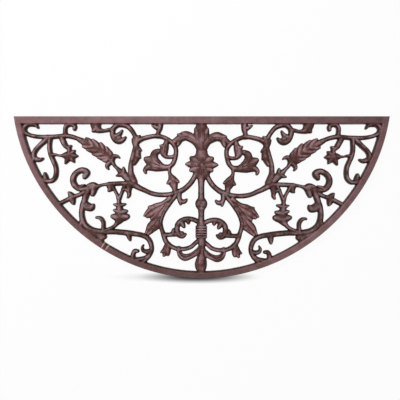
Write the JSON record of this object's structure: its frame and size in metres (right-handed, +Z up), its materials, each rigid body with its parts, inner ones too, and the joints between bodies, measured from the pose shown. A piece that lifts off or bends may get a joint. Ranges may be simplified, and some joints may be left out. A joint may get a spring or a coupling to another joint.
{
  "type": "half-round openwork door mat",
  "caption": "Half-round cast iron door mat: a flat bar and a curved rim around an openwork tread of scrolls, leaves and wheat ears that scrapes shoes and lets the dirt fall through.",
  "frame": {"origin": "middle of the mat's outline, on the floor", "axes": "+X along the straight bar, +Y towards the threshold side where the bar lies, +Z up from the floor to the tread"},
  "size_m": [0.7596, 0.328, 0.012],
  "materials": {
    "frame_iron": "dark red brown paint over sand-cast iron, satin, rubbed paler along the bar",
    "pattern_iron": "dark red brown paint over sand-cast iron, satin, darker in the walls of the gaps"
  },
  "bodies": {
    "root": {"rim": "frame_iron", "bar": "frame_iron", "crown_plume": "pattern_iron", "rosette": "pattern_iron", "centre_stem": "pattern_iron", "baluster": "pattern_iron", "foot_plume": "pattern_iron", "main_stem_left": "pattern_iron", "main_stem_right": "pattern_iron", "corner_vine_left": "pattern_iron", "corner_vine_right": "pattern_iron", "ring_base_left": "pattern_iron", "ring_base_right": "pattern_iron", "ring_left": "pattern_iron", "ring_right": "pattern_iron", "bowl_stalk_left": "pattern_iron", "bowl_stalk_right": "pattern_iron", "lower_stem_left": "pattern_iron", "lower_stem_right": "pattern_iron", "lower_stalk_left": "pattern_iron", "lower_stalk_right": "pattern_iron", "side_scroll_left": "pattern_iron", "side_scroll_right": "pattern_iron", "side_stem_left": "pattern_iron", "side_stem_right": "pattern_iron", "top_scroll_left": "pattern_iron", "top_scroll_right": "pattern_iron", "corner_stem_left": "pattern_iron", "corner_stem_right": "pattern_iron", "corner_branch_left": "pattern_iron", "corner_branch_right": "pattern_iron", "star_flower_left": "pattern_iron", "star_flower_right": "pattern_iron", "wheat_ear_left": "pattern_iron", "wheat_ear_right": "pattern_iron", "wheat_stalk_left": "pattern_iron", "wheat_stalk_right": "pattern_iron", "bar_leaf_left": "pattern_iron", "bar_leaf_right": "pattern_iron", "lily_left": "pattern_iron", "lily_right": "pattern_iron", "ring_bud_left": "pattern_iron", "ring_bud_right": "pattern_iron", "ring_leaf_left": "pattern_iron", "ring_leaf_right": "pattern_iron", "bowl_leaf_left": "pattern_iron", "bowl_leaf_right": "pattern_iron", "bowl_spiral_left": "pattern_iron", "bowl_spiral_right": "pattern_iron", "rim_leaf_left": "pattern_iron", "rim_leaf_right": "pattern_iron", "swag_left": "pattern_iron", "swag_right": "pattern_iron", "rim_hook_left": "pattern_iron", "rim_hook_right": "pattern_iron", "rim_curl_left": "pattern_iron", "rim_curl_right": "pattern_iron", "finial_left": "pattern_iron", "finial_right": "pattern_iron"}
  },
  "joints": []
}
